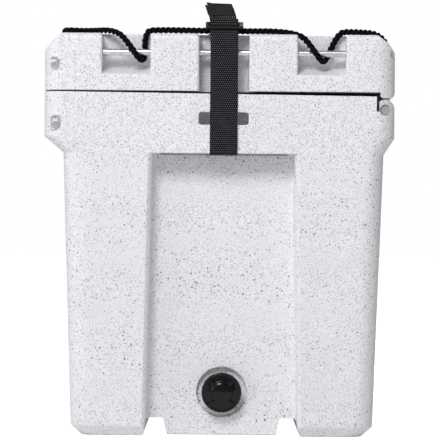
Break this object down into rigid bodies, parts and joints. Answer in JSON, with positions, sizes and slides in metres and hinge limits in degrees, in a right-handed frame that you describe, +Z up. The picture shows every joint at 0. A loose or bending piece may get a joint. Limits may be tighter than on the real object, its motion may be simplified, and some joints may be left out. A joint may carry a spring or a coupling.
{
  "type": "cooler chest",
  "caption": "Tall rotomoulded picnic cooler chest with a hinged lid, rubber latches, lid rope laced round metal rods, tie-down strap and screw-cap drain.",
  "frame": {"origin": "centre of the bounding box, at the underside of the chest", "axes": "+X to the hinge side, -X to the latch side, -Y to the end with the drain, +Z up"},
  "size_m": [0.4104, 0.6548, 0.5065],
  "materials": {
    "speckled_shell": "rotomoulded off-white with dark granite speckle",
    "foam": "rigid foam, sealed inside the skins",
    "gasket_rubber": "soft black rubber",
    "black_nylon": "satin black nylon",
    "black_cap": "glossy black",
    "latch_rubber": "satin black moulded rubber",
    "buckle_metal": "black coated steel",
    "black_webbing": "woven black polyester webbing",
    "black_rope": "three-strand twisted black cord",
    "rod_aluminium": "drawn bright aluminium",
    "screw_steel": "stainless pan-head screws"
  },
  "bodies": {
    "base": {"body_shell": "speckled_shell", "body_foam": "foam", "hinge_rod": "rod_aluminium", "hinge_screws": "screw_steel", "body_front_rod": "rod_aluminium", "body_front_rod_screws": "screw_steel", "drain_fitting": "black_nylon", "drain_nut": "black_nylon", "drain_washer": "gasket_rubber", "strap_loop_drain_side": "black_webbing", "strap_loop_far_side": "black_webbing"},
    "lid": {"lid_shell": "speckled_shell", "lid_foam": "foam", "lid_gasket": "gasket_rubber", "hinge_bushes": "black_nylon", "lid_front_rod": "rod_aluminium", "lid_front_rod_screws": "screw_steel", "lid_rear_rod": "rod_aluminium", "lid_rear_rod_screw": "screw_steel", "lid_end_rod_drain_side": "rod_aluminium", "lid_end_rod_far_side": "rod_aluminium", "lid_strap": "black_webbing", "buckle_drain_side": "buckle_metal", "buckle_far_side": "buckle_metal", "strap_tail_drain_side": "black_webbing", "strap_tail_far_side": "black_webbing", "tie_rope": "black_rope", "rope_splice": "black_nylon"},
    "latch_drain_side": {"latch_drain_side": "latch_rubber"},
    "latch_far_side": {"latch_far_side": "latch_rubber"},
    "drain_cap_carrier": {"drain_cap_seal": "gasket_rubber"},
    "drain_cap": {"drain_cap": "black_cap"}
  },
  "joints": [
    {"name": "lid_hinge", "type": "hinge", "parent": "base", "child": "lid", "pos_m": [0.1929, 0, 0.3832], "axis": [0, 1, 0], "range_deg": [0, 100]},
    {"name": "latch_drain_side_swing", "type": "hinge", "parent": "base", "child": "latch_drain_side", "pos_m": [-0.1907, -0.165, 0.364], "axis": [0, -1, 0], "range_deg": [0, 110]},
    {"name": "latch_far_side_swing", "type": "hinge", "parent": "base", "child": "latch_far_side", "pos_m": [-0.1907, 0.165, 0.364], "axis": [0, -1, 0], "range_deg": [0, 110]},
    {"name": "drain_cap_travel", "type": "slide", "parent": "base", "child": "drain_cap_carrier", "axis": [0, -1, 0], "range_m": [0, 0.006]},
    {"name": "drain_cap_turn", "type": "hinge", "parent": "drain_cap_carrier", "child": "drain_cap", "pos_m": [0.005, -0.3, 0.051], "axis": [0, -1, 0], "range_deg": [0, 540]}
  ],
  "couplings": [
    {"joint": "drain_cap_travel", "follows": "drain_cap_turn", "m_per_rad": 0.00063662}
  ]
}
